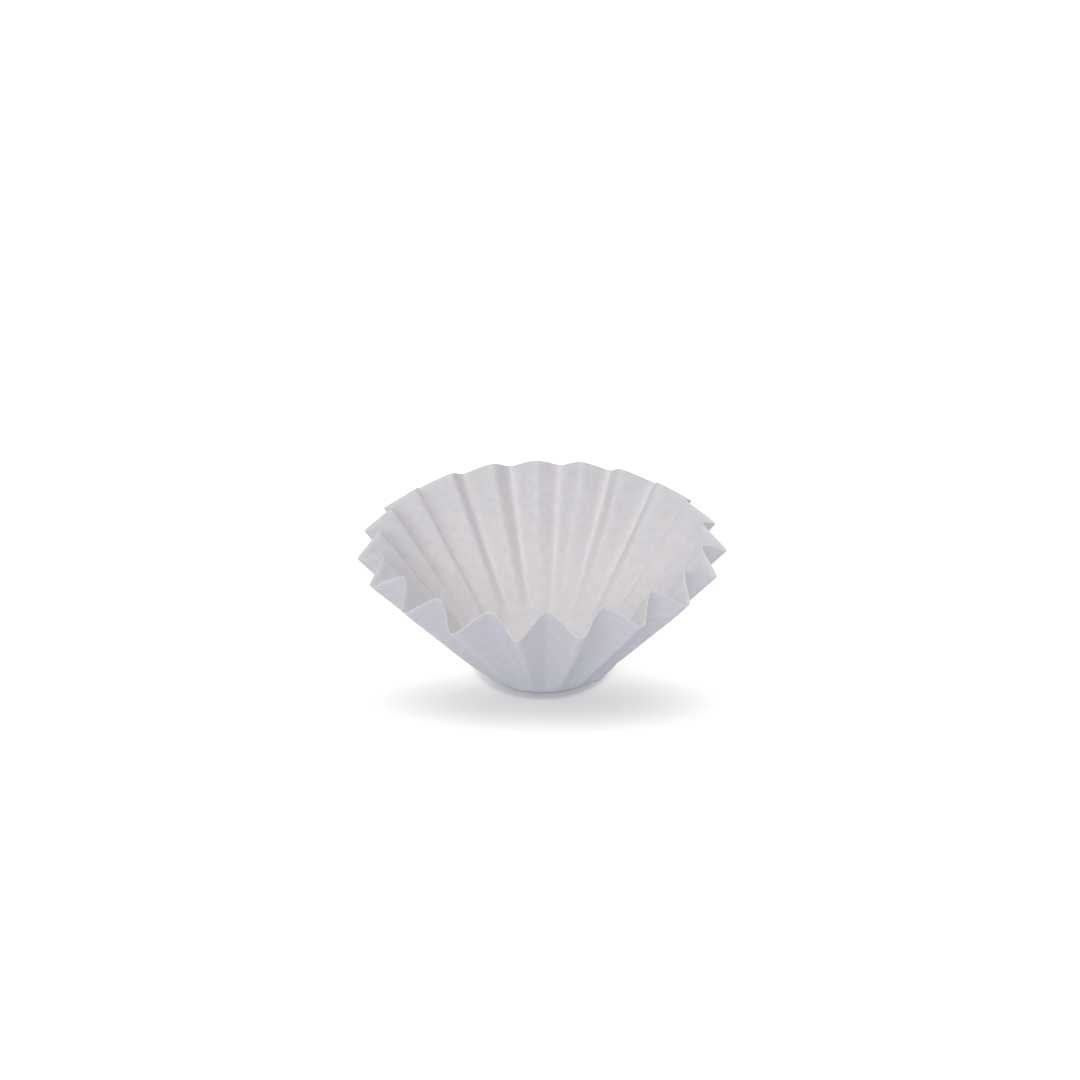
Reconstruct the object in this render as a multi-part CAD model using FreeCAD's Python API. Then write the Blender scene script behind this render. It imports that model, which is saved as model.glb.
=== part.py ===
"""A paper coffee filter: one round sheet of paper, pressed into a fluted cup with a flat base.

Millimetres, +Z up. The origin is the centre of the base, on the surface that the cup stands on,
and one of the outward folds lies over +X.

The sheet is followed outwards from its centre, along the paper. Paper hardly stretches, so at
every distance from the centre it keeps the length of the flat sheet's circle there, and what the
narrower cup has no room for stands up as flutes. That one rule gives the depth of the flutes,
from nothing at the base to their full depth at the rim.

Both faces of the paper are laid in narrow flat facets, closer together at the folds and in the
heel. They stay within a tenth of a millimetre of the smooth paper.
"""

import FreeCAD
import Part

import functools
import math
import os

# Driving dimensions
SHEET_DIAMETER = 185.0  # the flat round sheet before it is pressed
BASE_DIAMETER = 50.0  # where the slope of the wall would meet the floor
HEEL_RADIUS = 5.0  # the bend between base and wall
WALL_ANGLE = 54.5  # degrees, from the floor up to the middle line of the wall
PAPER_THICKNESS = 0.25
FLUTE_COUNT = 20
FOLD_SHARPNESS = 0.10  # 0 makes all folds alike, and more makes the outward ones tighter

# The facets
FACETS_PER_FLUTE = 12  # an even number, so that each fold has a line of its own
CROWDING = 0.25  # how far the facets move towards the folds, up to 0.5
HEEL_BAND_COUNT = 3
WALL_BAND_COUNT = 2  # the lower one is shorter, because the flutes grow fastest there

# How closely the depth of the flutes is worked out
CHORDS_PER_FLUTE = 64
DEPTH_TOLERANCE = 1e-7
STEP_FOR_SLOPES = 1e-4

SLOPE = math.radians(WALL_ANGLE)
FLUTE_ANGLE = 2 * math.pi / FLUTE_COUNT
SHEET_RADIUS = SHEET_DIAMETER / 2
FLAT_RADIUS = BASE_DIAMETER / 2 - HEEL_RADIUS * math.tan(SLOPE / 2)
WALL_START = FLAT_RADIUS + HEEL_RADIUS * SLOPE


def shares(count):
    """Evenly spaced shares from 0 to 1, both included."""
    return [i / count for i in range(count + 1)]


def meridian(along):
    """Radius, height and slope of the cup's middle line, at a distance along the paper."""
    slope = min(max((along - FLAT_RADIUS) / HEEL_RADIUS, 0.0), SLOPE)
    on_flat = min(along, FLAT_RADIUS)
    on_wall = max(along - WALL_START, 0.0)
    radius = on_flat + HEEL_RADIUS * math.sin(slope) + on_wall * math.cos(slope)
    height = HEEL_RADIUS * (1 - math.cos(slope)) + on_wall * math.sin(slope)
    return radius, height, slope


def flute_wave(angle):
    """1 on an outward fold, which is a little tighter than the inward folds between them."""
    turn = FLUTE_COUNT * angle
    return (math.cos(turn) + FOLD_SHARPNESS * math.cos(2 * turn)) / (1 + FOLD_SHARPNESS)


def middle_point(along, angle, depth):
    """A point halfway through the paper, where the flutes swing it square to the slope."""
    radius, height, slope = meridian(along)
    swing = depth * flute_wave(angle)
    radius += swing * math.sin(slope)
    height += PAPER_THICKNESS / 2 - swing * math.cos(slope)
    return FreeCAD.Vector(radius * math.cos(angle), radius * math.sin(angle), height)


def length_round_cup(along, depth):
    """The paper's length once round the cup, added up in short chords over one flute."""
    angles = [FLUTE_ANGLE * share for share in shares(CHORDS_PER_FLUTE)]
    points = [middle_point(along, angle, depth) for angle in angles]
    return FLUTE_COUNT * sum(a.distanceToPoint(b) for a, b in zip(points, points[1:]))


@functools.lru_cache(maxsize=None)
def flute_depth(along):
    """How far the flutes swing to take up the whole circle of the flat sheet."""
    if along <= FLAT_RADIUS:
        return 0.0
    chord_angle = FLUTE_ANGLE / CHORDS_PER_FLUTE
    circle = FLUTE_COUNT * CHORDS_PER_FLUTE * 2 * along * math.sin(chord_angle / 2)
    low = 0.0
    high = SHEET_RADIUS
    while high - low > DEPTH_TOLERANCE:
        depth = (low + high) / 2
        if length_round_cup(along, depth) < circle:
            low = depth
        else:
            high = depth
    return (low + high) / 2


def paper_point(along, angle):
    """A point halfway through the finished paper."""
    return middle_point(along, angle, flute_depth(along))


def outward(along, angle):
    """The unit vector square to the paper that points out of the cup."""
    step = STEP_FOR_SLOPES
    up = paper_point(along + step, angle) - paper_point(along - step, angle)
    round_cup = paper_point(along, angle + step) - paper_point(along, angle - step)
    return round_cup.cross(up).normalize()


def facet_rows():
    """Distances along the paper from the edge of the flat base up to the rim."""
    heel = [FLAT_RADIUS + (WALL_START - FLAT_RADIUS) * share for share in shares(HEEL_BAND_COUNT)]
    wall = [WALL_START + (SHEET_RADIUS - WALL_START) * share**2 for share in shares(WALL_BAND_COUNT)]
    return heel + wall[1:]


def facet_angles():
    """Angles once round the cup, from an outward fold, crowded towards all the folds."""
    turns = [2 * math.pi * i / FACETS_PER_FLUTE for i in range(FACETS_PER_FLUTE * FLUTE_COUNT)]
    return [(turn - CROWDING * math.sin(2 * turn)) / FLUTE_COUNT for turn in turns]


def skin(side):
    """Rows of points on one face of the paper: side is 1 outside the cup and -1 inside it."""
    shift = side * PAPER_THICKNESS / 2
    return [
        [paper_point(along, angle) + outward(along, angle) * shift for angle in facet_angles()]
        for along in facet_rows()
    ]


def triangle(a, b, c):
    """A flat facet between three points."""
    return Part.Face(Part.makePolygon([a, b, c, a]))


def facets_between(lower, upper):
    """Two facets to each step round the cup, mirrored on the two sides of every fold."""
    faces = []
    count = len(lower)
    for i in range(count):
        j = (i + 1) % count
        climbs = i % FACETS_PER_FLUTE < FACETS_PER_FLUTE / 2
        if climbs:
            faces.append(triangle(lower[i], lower[j], upper[i]))
            faces.append(triangle(lower[j], upper[j], upper[i]))
        else:
            faces.append(triangle(lower[i], lower[j], upper[j]))
            faces.append(triangle(lower[i], upper[j], upper[i]))
    return faces


def coffee_filter():
    """The whole sheet: both faces of base, heel and wall, and the cut edge along the rim."""
    outside = skin(1)
    inside = skin(-1)
    faces = []
    for rows in (outside, inside):
        faces.append(Part.Face(Part.makePolygon(rows[0] + rows[0][:1])))
        for lower, upper in zip(rows, rows[1:]):
            faces += facets_between(lower, upper)
    faces += facets_between(outside[-1], inside[-1])
    shell = Part.Shell(faces)
    shell.sewShape()
    solid = Part.Solid(shell)
    if solid.Volume < 0:
        solid.reverse()
    return solid


def main():
    os.makedirs("parts", exist_ok=True)
    solid = coffee_filter()
    solid.exportStep("parts/coffee_filter.step")
    box = solid.BoundBox
    print("valid", solid.isValid(), solid.ShapeType, "faces", len(solid.Faces))
    print("size", round(box.XLength, 3), round(box.YLength, 3), round(box.ZLength, 3))
    print("lowest", round(box.ZMin, 4), "volume", round(solid.Volume, 2))
    print("sheet area times thickness", round(math.pi * SHEET_RADIUS**2 * PAPER_THICKNESS, 2))
    print("depth of the flutes at the rim", round(flute_depth(SHEET_RADIUS), 3))


main()
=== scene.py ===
# %% [markdown]
# # A paper coffee filter
#
# A basket filter is one round sheet of thin white paper. A heated die presses it into a cup: the
# middle stays a flat base, and the rest stands up as a sloping wall of flutes. Nothing is glued,
# so the whole object is a single surface, and this lesson makes it as one.
#
# The lesson goes through the cup's outline, the depth of its flutes, the small unevenness that
# every pressed sheet has, the skin of the mesh, the paper as a material, and then the studio.

# %% Load the fixed frame
import math

import bpy
import numpy as np
from mathutils import Matrix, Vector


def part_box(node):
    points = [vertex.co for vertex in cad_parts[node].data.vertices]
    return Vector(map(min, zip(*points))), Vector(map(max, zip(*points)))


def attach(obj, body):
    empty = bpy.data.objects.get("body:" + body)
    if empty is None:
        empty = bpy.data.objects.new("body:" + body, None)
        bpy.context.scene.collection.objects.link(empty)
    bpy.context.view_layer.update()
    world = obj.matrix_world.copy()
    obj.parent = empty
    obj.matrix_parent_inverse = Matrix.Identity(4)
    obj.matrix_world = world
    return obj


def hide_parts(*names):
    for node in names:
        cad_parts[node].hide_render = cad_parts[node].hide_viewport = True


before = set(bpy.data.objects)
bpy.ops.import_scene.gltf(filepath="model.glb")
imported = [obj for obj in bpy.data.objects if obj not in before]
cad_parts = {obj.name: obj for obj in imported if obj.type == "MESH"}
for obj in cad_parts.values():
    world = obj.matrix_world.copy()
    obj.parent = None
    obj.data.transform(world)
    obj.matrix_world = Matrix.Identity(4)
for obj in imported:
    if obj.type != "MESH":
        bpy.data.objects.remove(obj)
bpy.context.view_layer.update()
cup_low, cup_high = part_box("coffee_filter")
cup_size = [round(1000 * (high - low), 1) for low, high in zip(cup_low, cup_high)]
print("the frame's cup, in millimetres:", cup_size)

# %% [markdown]
# ## Sizes
#
# All sizes are metres. The paper is followed outwards from its centre, along its surface, because
# that is the one measure that pressing leaves alone: a point 60 mm from the centre of the flat
# sheet is still 60 mm along the paper from the centre of the cup.

# %% Driving sizes
SHEET_RADIUS = 0.0925
BASE_RADIUS = 0.025
HEEL_RADIUS = 0.005
WALL_ANGLE = math.radians(54.5)
PAPER = 0.00025
FLUTES = 20
FOLD_SHARPNESS = 0.10
FOLD_STRAIGHTNESS = 0.05

FLAT_RADIUS = BASE_RADIUS - HEEL_RADIUS * math.tan(WALL_ANGLE / 2)
WALL_START = FLAT_RADIUS + HEEL_RADIUS * WALL_ANGLE
print("the flat base reaches %.1f mm along the paper" % (1000 * FLAT_RADIUS))
print("the straight wall starts %.1f mm along it" % (1000 * WALL_START))

# %% [markdown]
# ## The outline
#
# Cut the cup in half and forget the flutes for a moment. What is left is a flat base, an arc
# where the paper turns up, and a straight slope. A curve that is turned round an axis could make
# this, but the flutes have to be added square to the slope at every point, so the outline is a
# function that also returns its own angle.


# %% The outline as a function
def outline(along):
    """Radius, height and slope angle of the cup's middle line.

    The slope angle is the distance past the flat base divided by the heel's radius, held
    between 0 and the wall's angle. On the arc, radius = flat + heel * sin(angle) and
    height = heel * (1 - cos(angle)). Past it both grow in a straight line.
    """
    angle = np.clip((along - FLAT_RADIUS) / HEEL_RADIUS, 0.0, WALL_ANGLE)
    on_wall = np.maximum(along - WALL_START, 0.0)
    radius = np.minimum(along, FLAT_RADIUS) + HEEL_RADIUS * np.sin(angle) + on_wall * np.cos(angle)
    height = HEEL_RADIUS * (1.0 - np.cos(angle)) + on_wall * np.sin(angle)
    return radius, height, angle


rim_radius, rim_height, _ = outline(np.array([SHEET_RADIUS]))
print("middle line at the rim: radius %.1f mm" % (1000 * rim_radius[0]))
print("middle line at the rim: height %.1f mm" % (1000 * rim_height[0]))

# %% [markdown]
# ## How deep the flutes are
#
# Paper doesn't stretch. A circle drawn on the flat sheet 60 mm from its centre is 377 mm long,
# but the cup's wall at that place is only 286 mm round. The flutes take up the rest. So their
# depth isn't a matter of taste: at each distance it is the depth that makes the wavy circle as
# long as the flat one. Halving an interval again and again finds it, for all distances at once.

# %% Depth of the flutes from the length of the paper
CHORDS_PER_FLUTE = 96
HALVINGS = 40


def wave(turn):
    """1 on an outward fold: cos(turn) + a * cos(2 turn) + b * cos(3 turn), over 1 + a + b.

    The second term tightens the outward folds, the third straightens the flanks between folds.
    """
    sharper = FOLD_SHARPNESS * np.cos(2 * turn)
    straighter = FOLD_STRAIGHTNESS * np.cos(3 * turn)
    return (np.cos(turn) + sharper + straighter) / (1 + FOLD_SHARPNESS + FOLD_STRAIGHTNESS)


def wavy_length(along, depth):
    """Length once round the cup: the sum of short chords over one flute, times the flutes."""
    turn = np.linspace(0.0, 2 * np.pi, CHORDS_PER_FLUTE + 1)[None, :]
    radius, height, angle = outline(along)
    swing = depth[:, None] * wave(turn)
    r = radius[:, None] + swing * np.sin(angle)[:, None]
    z = height[:, None] - swing * np.cos(angle)[:, None]
    points = np.stack([r * np.cos(turn / FLUTES), r * np.sin(turn / FLUTES), z], axis=-1)
    return FLUTES * np.linalg.norm(np.diff(points, axis=1), axis=-1).sum(axis=1)


def flute_depth(along):
    """The depth at which the wavy circle is as long as the flat sheet's, by bisection."""
    flat_length = wavy_length(along, np.zeros_like(along)) * along / outline(along)[0]
    low = np.zeros_like(along)
    high = np.full_like(along, SHEET_RADIUS)
    for _ in range(HALVINGS):
        middle = (low + high) / 2
        short = wavy_length(along, middle) < flat_length
        low = np.where(short, middle, low)
        high = np.where(short, high, middle)
    return np.where(along <= FLAT_RADIUS, 0.0, (low + high) / 2)


for place in (0.03, 0.06, SHEET_RADIUS):
    depth = flute_depth(np.array([place]))[0]
    print("%.0f mm along, the flutes swing %.2f mm each way" % (1000 * place, 1000 * depth))

# %% [markdown]
# ## The grid
#
# The sheet is a polar grid: rows are rings from the centre out to the rim, and columns run from
# the base up the wall. Rows are close together in the heel, where the paper bends, and columns
# are crowded towards the folds, because a fold needs more faces than the flat flank beside it.

# %% Rows and columns
COLUMNS_PER_FLUTE = 32
COLUMNS = COLUMNS_PER_FLUTE * FLUTES
BASE_ROWS = 5
HEEL_ROWS = 12
WALL_ROWS = 40
ROW_GROWTH = 1.3
CROWDING = 0.18

base_rows = FLAT_RADIUS * np.linspace(0.0, 1.0, BASE_ROWS + 1)[1:]
heel_rows = np.linspace(FLAT_RADIUS, WALL_START, HEEL_ROWS + 1)[1:]
wall_shares = np.linspace(0.0, 1.0, WALL_ROWS + 1)[1:] ** ROW_GROWTH
wall_rows = WALL_START + (SHEET_RADIUS - WALL_START) * wall_shares
rows = np.concatenate([base_rows, heel_rows, wall_rows])
turns = 2 * np.pi * np.arange(COLUMNS) / COLUMNS_PER_FLUTE
turns = turns - CROWDING * np.sin(2 * turns)
even_angle = turns / FLUTES
print(len(rows), "rows and", COLUMNS, "columns")

# %% [markdown]
# ## What pressing leaves uneven
#
# No two flutes spring back alike when the die opens. Each fold ends up a little to one side, a
# little deeper or shallower, and the rim wanders up and down. The mouth isn't a true circle
# either. All of this fades to nothing at the base, which the die holds flat.
#
# A short sum of sines round the cup gives each of these, from seeded random numbers, so that the
# same cup comes out every time.

# %% Slow unevenness round the cup
SEED = 20
DEPTH_CHANGE = 0.04
FOLD_SHIFT = 0.003
RIM_RISE = 0.0005
OVAL = 0.007
LEAN = 0.0003

dice = np.random.default_rng(SEED)


def wander(angle, slowest, fastest):
    """A smooth random curve round the cup, about -1 to 1: sines of whole numbers of turns."""
    numbers = np.arange(slowest, fastest + 1)
    sizes = dice.normal(size=len(numbers))
    starts = dice.uniform(0.0, 2 * np.pi, len(numbers))
    sines = np.sin(numbers[:, None] * angle[None, :] + starts[:, None])
    return (sizes[:, None] * sines).sum(axis=0) / np.sqrt((sizes**2).sum())


depth_change = 1.0 + DEPTH_CHANGE * wander(even_angle, slowest=3, fastest=11)
fold_shift = FOLD_SHIFT * wander(even_angle, slowest=4, fastest=13)
rim_rise = RIM_RISE * wander(even_angle, slowest=2, fastest=9)
print("flutes from %.2f to %.2f of their even depth" % (depth_change.min(), depth_change.max()))

# %% [markdown]
# Two finer marks come from the die as well. Where the paper turns up from the base there is more
# of it than the flutes can take, so it is crushed into short fine lines that run up the wall and
# fade out. And each flank bellies in or out a little on its way up, which is what makes the light
# on real paper uneven.

# %% Crush lines at the heel and soft dents in the flanks
CRUSH_DEPTH = 0.00005
CRUSH_PEAK = 0.0275
CRUSH_SPREAD = 0.004
DENT_DEPTH = 0.00018
DENT_WAVES = 4

crush_lines = wander(even_angle, slowest=60, fastest=150)
dent_curves = [wander(even_angle, slowest=8, fastest=34) for _ in range(DENT_WAVES)]


def small_marks(along):
    """How far the paper stands out from its smooth shape, as rows by columns.

    Crush: depth * lines(angle) * exp(-((along - peak) / spread)^2). Dents: for each wave number
    k from 1, depth / k * curve(angle) * sin(pi * k * share), where share runs from 0 at the heel
    to 1 at the rim.
    """
    fade = np.exp(-(((along - CRUSH_PEAK) / CRUSH_SPREAD) ** 2))
    crush = fade[:, None] * crush_lines[None, :]
    share = np.clip((along - WALL_START) / (SHEET_RADIUS - WALL_START), 0.0, 1.0)
    dents = sum(
        np.sin(np.pi * k * share)[:, None] * curve[None, :] / k
        for k, curve in enumerate(dent_curves, start=1)
    )
    return CRUSH_DEPTH * crush + DENT_DEPTH * dents


marks = small_marks(rows)
print("small marks stand out %.2f mm at most" % (1000 * np.abs(marks).max()))

# %% [markdown]
# One fault is larger. On its right side this cup's wall swells out just above the base, as if the
# die had turned the paper up less sharply there. It makes the cup's foot look wider on that side.

# %% A swelling low on the wall
SWELL_OUT = 0.0019
SWELL_ANGLE = math.radians(-28)
SWELL_WIDTH = 0.36
SWELL_ALONG = 0.030
SWELL_HEIGHT = 0.0045
SWELL_EASE = 0.004


def low_swelling(along):
    """Outward move: depth * exp(-(turn / width)^2) * exp(-((along - place) / height)^2) * ease.

    turn is the angle away from the swelling's middle. ease grows from 0 to 1 over the first few
    millimetres past the flat base, so that the base stays flat.
    """
    turn = np.angle(np.exp(1j * (even_angle - SWELL_ANGLE)))
    round_cup = np.exp(-((turn / SWELL_WIDTH) ** 2))
    up_the_wall = np.exp(-(((along - SWELL_ALONG) / SWELL_HEIGHT) ** 2))
    ease = np.clip((along - FLAT_RADIUS) / SWELL_EASE, 0.0, 1.0)
    return SWELL_OUT * round_cup[None, :] * (up_the_wall * ease)[:, None]


swelling = low_swelling(rows)
print("the wall swells by %.2f mm at most" % (1000 * swelling.max()))

# %% [markdown]
# ## The middle of the paper
#
# Every point of the grid is the outline, swung in or out along the outline's own normal. Outward
# folds move out and down, inward folds in and up, and that is why the rim of a filter rises and
# falls as it goes round.
#
# The die holds the edge of the base round, so the foot of the wall is nearly smooth. The flutes
# fade in from 23.5 to 37 mm along the paper, which is just past the flat base to one centimetre
# up the straight wall.

# %% The middle surface
FLUTES_START = 0.0235
FLUTES_FULL = 0.037


def past_the_foot(along):
    """0 where the flutes start, 1 where they have their full depth, as one column."""
    return np.clip((along - FLUTES_START) / (FLUTES_FULL - FLUTES_START), 0.0, 1.0)[:, None]


def grid_normals(points):
    """Unit normals of a grid that closes round: the cross product of its two differences."""
    round_cup = np.roll(points, -1, axis=1) - np.roll(points, 1, axis=1)
    up = np.gradient(points, axis=0)
    normal = np.cross(round_cup, up)
    return normal / np.linalg.norm(normal, axis=-1, keepdims=True)


def middle_surface(along):
    """Grid of points: radius + swing * sin(angle), height - swing * cos(angle), turned round Z.

    swing = depth(along) * wave(turn) * (3 f^2 - 2 f^3), where f is 0 to 1 past the foot. The
    unevenness grows with the share of the wall that lies below the point, or with its square.
    """
    radius, height, angle = [part[:, None] for part in outline(along)]
    share = np.clip((along - FLAT_RADIUS) / (SHEET_RADIUS - FLAT_RADIUS), 0.0, 1.0)[:, None]
    uneven = share**2
    f = past_the_foot(along)
    depth = flute_depth(along)[:, None] * (3 * f**2 - 2 * f**3)
    swing = depth * (1 + (depth_change - 1)[None, :] * share) * wave(turns)[None, :]
    r = radius + swing * np.sin(angle) - rim_rise[None, :] * uneven * np.sin(angle)
    z = height - swing * np.cos(angle) + rim_rise[None, :] * uneven * np.cos(angle)
    theta = even_angle[None, :] + fold_shift[None, :] * share
    x = r * np.cos(theta) * (1 - OVAL * uneven) - LEAN * share
    y = r * np.sin(theta)
    return np.stack([x, y, z + PAPER / 2], axis=-1)


middle = middle_surface(rows)
middle += grid_normals(middle) * (marks * past_the_foot(rows) + swelling)[..., None]
print("middle surface up to z = %.2f mm" % (1000 * middle[..., 2].max()))

# %% [markdown]
# ## Two faces and a cut edge
#
# Blender's Solidify modifier could give the sheet its thickness. Here both faces are worked out
# in numpy instead, half a thickness along the normals, so that the cut edge at the rim can be
# slightly rounded, as die-cut paper is. The two faces and the edge are one long strip of rows:
# out along the underside, over the rim, and back in along the inside, closed by a point at each
# end.

# %% Skins and rim
EDGE_ROUNDING = 0.35

normals = grid_normals(middle)
outer = middle + normals * PAPER / 2
inner = middle - normals * PAPER / 2
outer[:BASE_ROWS, :, 2] = 0.0
inner[:BASE_ROWS, :, 2] = PAPER
edge_way = middle[-1] - middle[-2]
edge_way /= np.linalg.norm(edge_way, axis=-1, keepdims=True)
edge = middle[-1] + edge_way * PAPER * EDGE_ROUNDING
strip = np.concatenate([outer, edge[None], inner[::-1]])
strip_along = np.concatenate([rows, [SHEET_RADIUS], rows[::-1]])
print("the strip has", strip.shape[0], "rows")
print("its lowest point is z = %.4f mm" % (1000 * strip[..., 2].min()))


# %% Build the mesh
def closed_strip(name, strip, first_pole, last_pole):
    """A mesh from rows that close round, with a fan of triangles to a pole at each end.

    Vertex i * columns + j is row i, column j. A face joins row i to row i + 1 and column j to
    column j + 1, which wraps to 0.
    """
    count, columns = strip.shape[:2]
    points = np.concatenate([strip.reshape(-1, 3), first_pole[None], last_pole[None]])
    j = np.arange(columns)
    j_next = (j + 1) % columns
    i = np.arange(count - 1)[:, None] * columns
    corners = [i + j, i + j_next, i + columns + j_next, i + columns + j]
    quads = np.stack(corners, axis=-1).reshape(-1, 4)
    first = count * columns
    last = first + 1
    top = (count - 1) * columns
    fan_first = np.stack([j_next, j, np.full(columns, first)], axis=-1)
    fan_last = np.stack([top + j, top + j_next, np.full(columns, last)], axis=-1)
    mesh = bpy.data.meshes.new(name)
    mesh.from_pydata(points.tolist(), [], quads.tolist() + fan_first.tolist() + fan_last.tolist())
    mesh.update()
    return mesh


bottom_pole = np.array([0.0, 0.0, 0.0])
top_pole = np.array([0.0, 0.0, PAPER])
paper_mesh = closed_strip("filter_paper", strip, bottom_pole, top_pole)
paper_mesh.polygons.foreach_set("use_smooth", np.ones(len(paper_mesh.polygons), dtype=bool))
paper = bpy.data.objects.new("filter_paper", paper_mesh)
bpy.context.scene.collection.objects.link(paper)
print("filter paper:", len(paper_mesh.vertices), "vertices,", len(paper_mesh.polygons), "faces")

# %% [markdown]
# ## A flat map for the pattern
#
# The fibres were laid down while the sheet was flat. So the pattern is drawn on the flat sheet:
# each point's place there, its distance along the paper and its angle, becomes its UV. It has no
# seam, and the fibres follow the paper over every fold.

# %% UV map of the flat sheet
flat_angle = np.broadcast_to(even_angle, (len(strip_along), COLUMNS))
flat_x = (strip_along[:, None] * np.cos(flat_angle)).ravel()
flat_y = (strip_along[:, None] * np.sin(flat_angle)).ravel()
flat_xy = np.concatenate([np.stack([flat_x, flat_y], axis=-1), np.zeros((2, 2))])
uv_of_vertex = 0.5 + flat_xy / (2 * SHEET_RADIUS)
corner_vertex = np.empty(len(paper_mesh.loops), dtype=np.int32)
paper_mesh.loops.foreach_get("vertex_index", corner_vertex)
flat_map = paper_mesh.uv_layers.new(name="flat_sheet")
flat_map.data.foreach_set("uv", uv_of_vertex[corner_vertex].ravel())
print("UV from", uv_of_vertex.min().round(3), "to", uv_of_vertex.max().round(3))

# %% [markdown]
# ## Filter paper
#
# Filter paper is soft, matt and a little see-through. Held close it shows four things, none of
# them with much contrast: clouds of thicker and thinner pulp a few millimetres across, single
# fibres one to three millimetres long that lie in all directions, the fine ribs of the crepe, and
# a felted nap. The flat map carries them all. A fibre is noise drawn out along one direction, of
# which only the narrow middle band is kept, and three directions make a felt.

# %% Helpers for shader nodes
SHEET_SPAN = 2 * SHEET_RADIUS


def link(tree, source, target):
    tree.links.new(source, target)


def noise(tree, vector, size, detail=1.0, roughness=0.5, turn=0.0, stretch=1.0):
    """Noise whose grains are size metres across the sheet, drawn out stretch times along turn."""
    mapping = tree.nodes.new("ShaderNodeMapping")
    mapping.inputs["Rotation"].default_value = (0.0, 0.0, turn)
    mapping.inputs["Scale"].default_value = (1.0 / stretch, 1.0, 1.0)
    texture = tree.nodes.new("ShaderNodeTexNoise")
    texture.inputs["Scale"].default_value = SHEET_SPAN / size
    texture.inputs["Detail"].default_value = detail
    texture.inputs["Roughness"].default_value = roughness
    link(tree, vector, mapping.inputs["Vector"])
    link(tree, mapping.outputs["Vector"], texture.inputs["Vector"])
    return texture.outputs["Fac"]


def combine(tree, operation, first, second):
    """A math node on two sockets, or on a socket and a number."""
    node = tree.nodes.new("ShaderNodeMath")
    node.operation = operation
    for place, value in enumerate((first, second)):
        if isinstance(value, float):
            node.inputs[place].default_value = value
        else:
            link(tree, value, node.inputs[place])
    return node.outputs["Value"]


def remap(tree, value, start, end, low, high, curve="LINEAR"):
    """low up to start, high from end on, and a straight or smooth change between them."""
    ramp = tree.nodes.new("ShaderNodeMapRange")
    ramp.interpolation_type = curve
    ramp.inputs["From Min"].default_value = start
    ramp.inputs["From Max"].default_value = end
    ramp.inputs["To Min"].default_value = low
    ramp.inputs["To Max"].default_value = high
    link(tree, value, ramp.inputs["Value"])
    return ramp.outputs["Result"]


def rise(tree, value, start, end, height):
    """0 up to start, height from end on, and a smooth rise between them."""
    return remap(tree, value, start, end, 0.0, height, curve="SMOOTHSTEP")


def mix_colours(tree, share, first, second):
    """first where share is 0 and second where it is 1. Each is a colour or a socket."""
    node = tree.nodes.new("ShaderNodeMix")
    node.data_type = "RGBA"
    link(tree, share, node.inputs["Factor"])
    for place, colour in (("A", first), ("B", second)):
        if isinstance(colour, tuple):
            node.inputs[place].default_value = colour
        else:
            link(tree, colour, node.inputs[place])
    return node.outputs["Result"]


def bump(tree, height, distance, strength, under=None):
    """A bump node of that depth in metres, on top of another one where there is one."""
    node = tree.nodes.new("ShaderNodeBump")
    node.inputs["Distance"].default_value = distance
    node.inputs["Strength"].default_value = strength
    link(tree, height, node.inputs["Height"])
    if under is not None:
        link(tree, under, node.inputs["Normal"])
    return node.outputs["Normal"]


def camera_sees(tree):
    """1 for a ray that the camera sends, or that gloss or glass passes on, and 0 for light."""
    rays = tree.nodes.new("ShaderNodeLightPath").outputs
    seen_or_gloss = combine(tree, "MAXIMUM", rays["Is Camera Ray"], rays["Is Glossy Ray"])
    return combine(tree, "MAXIMUM", seen_or_gloss, rays["Is Transmission Ray"])


print("one millimetre is", round(0.001 / SHEET_SPAN, 5), "of the flat map")

# %% Patterns of the paper
CLOUD_SIZE = 0.0035
NAP_SIZE = 0.0003
CREPE_SIZE = 0.0006
CREPE_STRETCH = 4.0
FIBRE_SIZE = 0.00045
FIBRE_STRETCH = 7.0
FIBRE_TURNS = (0.35, 1.45, 2.50)
FIBRE_BAND = 0.03


def ridge(tree, value, width):
    """1 where value is 0.5, and 0 where it is further than width from that: thin noise lines."""
    away = combine(tree, "ABSOLUTE", combine(tree, "SUBTRACT", value, 0.5), 0.0)
    return remap(tree, away, 0.0, width, 1.0, 0.0)


def fibre_felt(tree, uv):
    """Fibres in three directions: the strongest of three drawn-out line patterns."""
    felt = None
    for turn in FIBRE_TURNS:
        drawn_out = noise(tree, uv, FIBRE_SIZE, turn=turn, stretch=FIBRE_STRETCH)
        lines = ridge(tree, drawn_out, FIBRE_BAND)
        felt = lines if felt is None else combine(tree, "MAXIMUM", felt, lines)
    return felt


print("clouds of pulp %.1f mm across" % (1000 * CLOUD_SIZE))
print("fibres up to %.1f mm long" % (1000 * FIBRE_SIZE * FIBRE_STRETCH))

# %% [markdown]
# The colour stays within a few percent of one bleached white. Thin places in the clouds let a
# little less light back, so they are darker, and fibres on the surface are a touch lighter. The
# roughness follows the same clouds. A small share of scattering under the surface softens the
# folds and lets light through the sheet. All the bumps are hundredths of a millimetre deep.

# %% The paper's material
THIN_WHITE = (0.775, 0.772, 0.778, 1.0)
THICK_WHITE = (0.835, 0.832, 0.838, 1.0)
FIBRE_WHITE = (0.87, 0.868, 0.872, 1.0)
CLOUD_THIN = 0.32
CLOUD_THICK = 0.66
FIBRE_SHARE = 0.35
ROUGH_RANGE = (0.3, 0.7)
ROUGH_THIN = 0.92
ROUGH_THICK = 0.78
SHINE = 0.25
SCATTER_SHARE = 0.25
SCATTER_COLOURS = (1.0, 0.85, 0.75)
SCATTER_REACH = 0.0006
CREPE_DEPTH = 0.00003
CREPE_STRENGTH = 0.1
FELT_DEPTH = 0.00001
FELT_STRENGTH = 0.5


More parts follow.
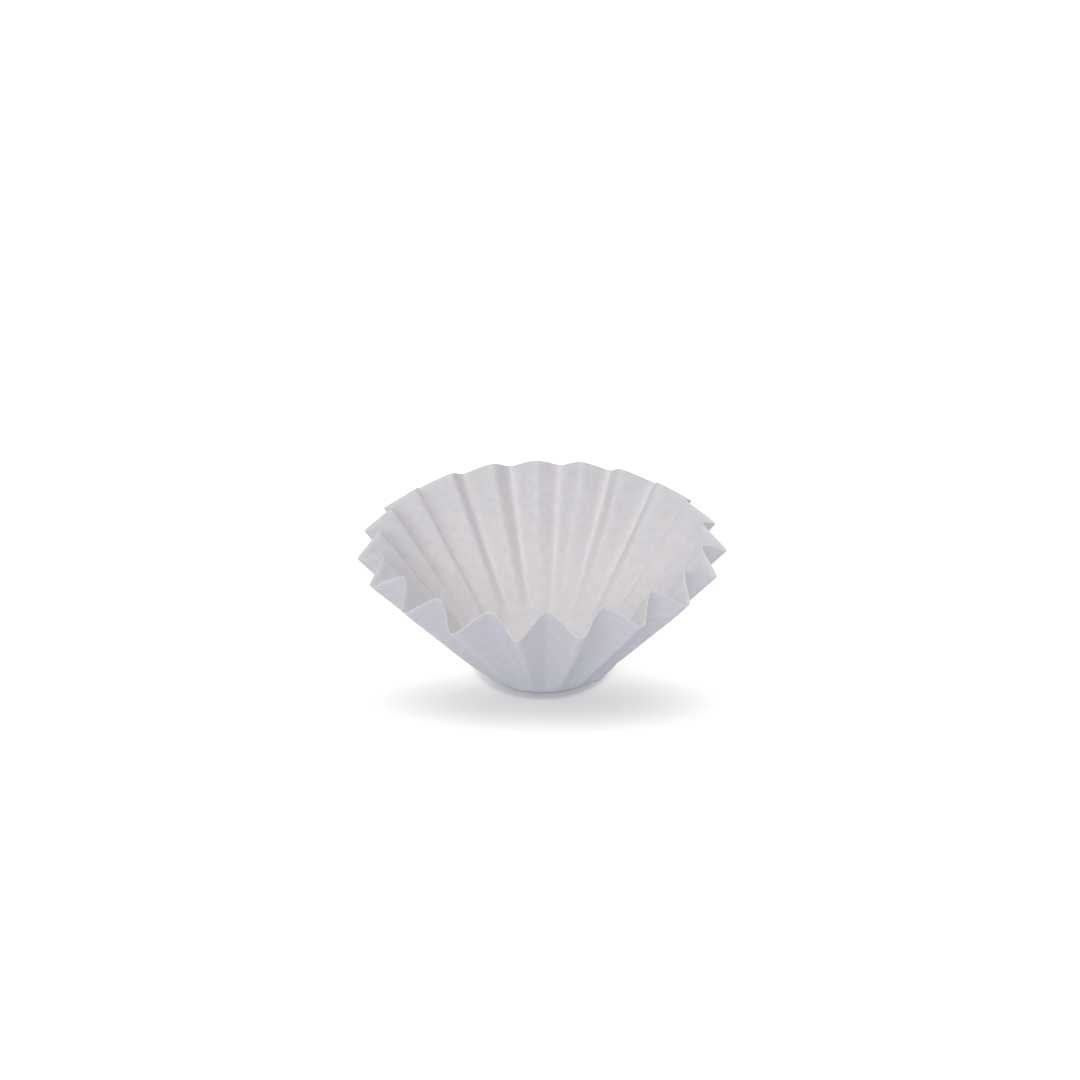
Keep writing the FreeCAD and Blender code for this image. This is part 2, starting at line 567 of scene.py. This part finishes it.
def filter_paper_material():
    """Pulp clouds and fibres in the colour, clouds in the roughness, and three fine bumps."""
    material = bpy.data.materials.new("bleached_filter_paper")
    material.use_nodes = True
    tree = material.node_tree
    shader = tree.nodes["Principled BSDF"]
    uv_map = tree.nodes.new("ShaderNodeUVMap")
    uv_map.uv_map = "flat_sheet"
    uv = uv_map.outputs["UV"]
    clouds = noise(tree, uv, CLOUD_SIZE, detail=3.0, roughness=0.6)
    nap = noise(tree, uv, NAP_SIZE, detail=2.0, roughness=0.6)
    crepe = noise(tree, uv, CREPE_SIZE, stretch=CREPE_STRETCH)
    felt = fibre_felt(tree, uv)

    pulp = tree.nodes.new("ShaderNodeValToRGB")
    thin, thick = pulp.color_ramp.elements
    thin.position, thin.color = CLOUD_THIN, THIN_WHITE
    thick.position, thick.color = CLOUD_THICK, THICK_WHITE
    link(tree, clouds, pulp.inputs["Fac"])
    fibre_share = combine(tree, "MULTIPLY", felt, FIBRE_SHARE)
    colour = mix_colours(tree, fibre_share, pulp.outputs["Color"], FIBRE_WHITE)
    link(tree, colour, shader.inputs["Base Color"])
    roughness = remap(tree, clouds, *ROUGH_RANGE, ROUGH_THIN, ROUGH_THICK)
    link(tree, roughness, shader.inputs["Roughness"])

    shader.inputs["Specular IOR Level"].default_value = SHINE
    shader.inputs["Subsurface Weight"].default_value = SCATTER_SHARE
    shader.inputs["Subsurface Radius"].default_value = SCATTER_COLOURS
    shader.inputs["Subsurface Scale"].default_value = SCATTER_REACH

    surface = bump(tree, crepe, CREPE_DEPTH, CREPE_STRENGTH)
    surface = bump(tree, felt, FELT_DEPTH, FELT_STRENGTH, surface)
    surface = bump(tree, nap, FELT_DEPTH, FELT_STRENGTH, surface)
    link(tree, surface, shader.inputs["Normal"])
    return material


paper_mesh.materials.append(filter_paper_material())
print("material:", paper_mesh.materials[0].name)

# %% [markdown]
# ## Tie the paper to the frame
#
# The frame's own cup is the plain model that the physics uses. The finished sheet stands for it,
# rides on the same body, and says how large it was before it was pressed.

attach(paper, "root")
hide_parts("coffee_filter")
print("flat sheet %.0f mm across" % (2000 * SHEET_RADIUS))

# %% [markdown]
# ## A white studio
#
# The floor is lit like any other surface, so it takes the cup's soft shadow. It has two tones.
# The light that bounces off it is bluish, and that gives the cup's outer wall its cool shade. The
# camera sees a plainer white.
#
# To the camera the floor also shows painted light, a white glow that adds no light to the paper
# and lightens its real shadow. The glow is nothing under the base, a little just outside it, and
# more beyond an oval that lies forward of the cup. What is left of the shadow is a dark line at
# the base and a soft oval pool in front, a shape that the glow paints. The oval is turned a few
# degrees, because the camera stands a few degrees to the right.

# %% The floor's painted light
# Reach and strength of the painted light that lightens the floor's shadow.
CONTACT_FROM = 0.0271
CONTACT_TO = 0.0297
CONTACT_PAINTED_LIGHT = 0.188
POOL_CENTRE = (0.0018, -0.0304)
POOL_HALF = (0.0929, 0.0224)
POOL_TURN = math.radians(5.5)
POOL_FROM = 0.04
POOL_TO = 1.34
POOL_PAINTED_LIGHT = 0.5
FAR_FROM = 0.08
FAR_TO = 0.25
FAR_PAINTED_LIGHT = 0.5


def distance_from(tree, point, centre, half, turn=0.0):
    """Distance of a point from a centre, in units of the turned oval's two half widths."""
    oval = tree.nodes.new("ShaderNodeMapping")
    oval.vector_type = "TEXTURE"
    oval.inputs["Location"].default_value = (*centre, 0.0)
    oval.inputs["Rotation"].default_value = (0.0, 0.0, turn)
    oval.inputs["Scale"].default_value = (*half, 1.0)
    length = tree.nodes.new("ShaderNodeVectorMath")
    length.operation = "LENGTH"
    link(tree, point, oval.inputs["Vector"])
    link(tree, oval.outputs["Vector"], length.inputs[0])
    return length.outputs["Value"]


def painted_floor_light(tree):
    """Painted light that shapes the floor's shadow: the sum of three smooth rises, past the base's
    edge, past the pool and far away.
    """
    point = tree.nodes.new("ShaderNodeTexCoord").outputs["Object"]
    from_base = distance_from(tree, point, (0.0, 0.0), (1.0, 1.0))
    from_pool = distance_from(tree, point, POOL_CENTRE, POOL_HALF, POOL_TURN)
    contact = rise(tree, from_base, CONTACT_FROM, CONTACT_TO, CONTACT_PAINTED_LIGHT)
    pool = rise(tree, from_pool, POOL_FROM, POOL_TO, POOL_PAINTED_LIGHT)
    far = rise(tree, from_base, FAR_FROM, FAR_TO, FAR_PAINTED_LIGHT)
    return combine(tree, "ADD", combine(tree, "ADD", contact, pool), far)


# The painted light at full strength, far from the cup.
print("white of its own far away:", round(CONTACT_PAINTED_LIGHT + POOL_PAINTED_LIGHT + FAR_PAINTED_LIGHT, 3))

# %% Floor
FLOOR_HALF = 8.0
FLOOR_DROP = 0.00002
FLOOR_BOUNCE = (0.775, 0.812, 0.886, 1.0)
FLOOR_SEEN = (0.80, 0.80, 0.785, 1.0)
# The colour of the floor's painted light.
PAINTED_LIGHT_TINT = (1.0, 0.99, 0.95, 1.0)


def floor_material():
    """Diffuse in two tones, plus painted light where the camera looks, which lightens the floor's
    shadow.
    """
    material = bpy.data.materials.new("studio_floor")
    material.use_nodes = True
    tree = material.node_tree
    tree.nodes.remove(tree.nodes["Principled BSDF"])
    seen = camera_sees(tree)
    diffuse = tree.nodes.new("ShaderNodeBsdfDiffuse")
    link(tree, mix_colours(tree, seen, FLOOR_BOUNCE, FLOOR_SEEN), diffuse.inputs["Color"])
    # Painted light: a white glow that only the camera sees, set by the place on the floor.
    white = tree.nodes.new("ShaderNodeEmission")
    white.inputs["Color"].default_value = PAINTED_LIGHT_TINT
    link(tree, combine(tree, "MULTIPLY", seen, painted_floor_light(tree)), white.inputs["Strength"])
    both = tree.nodes.new("ShaderNodeAddShader")
    link(tree, diffuse.outputs["BSDF"], both.inputs[0])
    link(tree, white.outputs["Emission"], both.inputs[1])
    link(tree, both.outputs["Shader"], tree.nodes["Material Output"].inputs["Surface"])
    return material


corners = [(-1, -1), (1, -1), (1, 1), (-1, 1)]
floor_points = [(x * FLOOR_HALF, y * FLOOR_HALF, -FLOOR_DROP) for x, y in corners]
floor_mesh = bpy.data.meshes.new("floor")
floor_mesh.from_pydata(floor_points, [], [(0, 1, 2, 3)])
floor_mesh.materials.append(floor_material())
floor = bpy.data.objects.new("floor", floor_mesh)
bpy.context.scene.collection.objects.link(floor)
print("floor", 2 * FLOOR_HALF, "m across")

# %% [markdown]
# ## Light
#
# Thin white paper shows its folds only if the light comes more from one side than from all
# others. A large soft lamp stands in front, a little to the left and about 38 degrees above the
# floor. A weaker one overhead lights the inside of the cup, and a third one behind keeps the far
# flutes apart. A pale sky, bluish near the ground and warmer overhead, fills the rest. The camera
# sees plain white in its place.

# %% Sky
SKY_STRENGTH = 0.42
LOW_SKY = (0.83, 0.89, 1.02, 1.0)
HIGH_SKY = (1.0, 0.955, 0.96, 1.0)
SKY_LOW_UP_TO = 0.1
SKY_HIGH_FROM = 0.8
BACKDROP = (1.0, 1.0, 1.0, 1.0)

world = bpy.data.worlds.new("studio_sky")
bpy.context.scene.world = world
world.use_nodes = True
sky_tree = world.node_tree
direction = sky_tree.nodes.new("ShaderNodeTexCoord")
parts = sky_tree.nodes.new("ShaderNodeSeparateXYZ")
link(sky_tree, direction.outputs["Generated"], parts.inputs["Vector"])
highness = rise(sky_tree, parts.outputs["Z"], SKY_LOW_UP_TO, SKY_HIGH_FROM, 1.0)
sky = sky_tree.nodes["Background"]
sky.inputs["Strength"].default_value = SKY_STRENGTH
link(sky_tree, mix_colours(sky_tree, highness, LOW_SKY, HIGH_SKY), sky.inputs["Color"])
backdrop = sky_tree.nodes.new("ShaderNodeBackground")
backdrop.inputs["Color"].default_value = BACKDROP
choice = sky_tree.nodes.new("ShaderNodeMixShader")
link(sky_tree, camera_sees(sky_tree), choice.inputs["Fac"])
link(sky_tree, sky.outputs["Background"], choice.inputs[1])
link(sky_tree, backdrop.outputs["Background"], choice.inputs[2])
link(sky_tree, choice.outputs["Shader"], sky_tree.nodes["World Output"].inputs["Surface"])
print("sky strength", SKY_STRENGTH)

# %% Lamps
LAMP_AIM = (0.0, 0.0, 0.03)
FRONT_PLACE = (-0.15, -1.26, 1.02)
FRONT_SIZE = 1.0
FRONT_POWER = 8.6
FRONT_COLOUR = (0.98, 0.95, 0.975)
TOP_PLACE = (-0.05, 0.05, 1.1)
TOP_SIZE = 0.9
TOP_POWER = 2.5
TOP_COLOUR = (1.0, 0.95, 0.95)
BACK_PLACE = (-0.55, 1.2, 0.75)
BACK_SIZE = 0.8
BACK_POWER = 2.0
BACK_COLOUR = (1.0, 0.96, 0.98)


def soft_lamp(name, place, size, power, colour):
    """A square area lamp that faces the cup. size is its side in metres, power in watts."""
    data = bpy.data.lights.new(name, "AREA")
    data.size = size
    data.energy = power
    data.color = colour
    lamp = bpy.data.objects.new(name, data)
    way = np.array(place) - np.array(LAMP_AIM)
    tilt = math.atan2(math.hypot(way[0], way[1]), way[2])
    lamp.location = place
    lamp.rotation_euler = (tilt, 0.0, math.atan2(way[0], -way[1]))
    bpy.context.scene.collection.objects.link(lamp)
    print(name, "%.0f degrees above the floor" % (90 - math.degrees(tilt)))


soft_lamp("front_lamp", FRONT_PLACE, FRONT_SIZE, FRONT_POWER, FRONT_COLOUR)
soft_lamp("top_lamp", TOP_PLACE, TOP_SIZE, TOP_POWER, TOP_COLOUR)
soft_lamp("back_lamp", BACK_PLACE, BACK_SIZE, BACK_POWER, BACK_COLOUR)

# %% [markdown]
# ## Camera
#
# The camera looks down at the cup from the front and a little to the right, about 28 degrees
# above the floor and 0.42 m from the point it aims at. Its values were found by matching the
# folds of the rim and the edge of the base.

# %% Camera
CAMERA_DISTANCE = 0.42
LOOK_DOWN = math.radians(28.19)
SIDEWAYS = math.radians(7.21)
ROLL = math.radians(0.52)
AIM_RIGHT = -0.00075
AIM_HEIGHT = 0.0525
FOCAL_LENGTH = 37.36
SENSOR = 36.0

right = np.array([math.cos(SIDEWAYS), math.sin(SIDEWAYS), 0.0])
back = np.array(
    [
        math.cos(LOOK_DOWN) * math.sin(SIDEWAYS),
        -math.cos(LOOK_DOWN) * math.cos(SIDEWAYS),
        math.sin(LOOK_DOWN),
    ]
)
up = np.cross(back, right)
rolled_right = math.cos(ROLL) * right - math.sin(ROLL) * up
rolled_up = math.sin(ROLL) * right + math.cos(ROLL) * up
aim = right * AIM_RIGHT + np.array([0.0, 0.0, AIM_HEIGHT])
place = aim + back * CAMERA_DISTANCE

camera_data = bpy.data.cameras.new("camera")
camera_data.sensor_width = SENSOR
camera_data.lens = FOCAL_LENGTH
camera = bpy.data.objects.new("camera", camera_data)
turned = np.stack([rolled_right, rolled_up, back], axis=1)
camera.rotation_euler = Matrix(turned.tolist()).to_euler()
camera.location = place
bpy.context.scene.collection.objects.link(camera)
bpy.context.scene.camera = camera
bpy.context.scene.view_settings.view_transform = "Standard"
print("camera at", place.round(3))
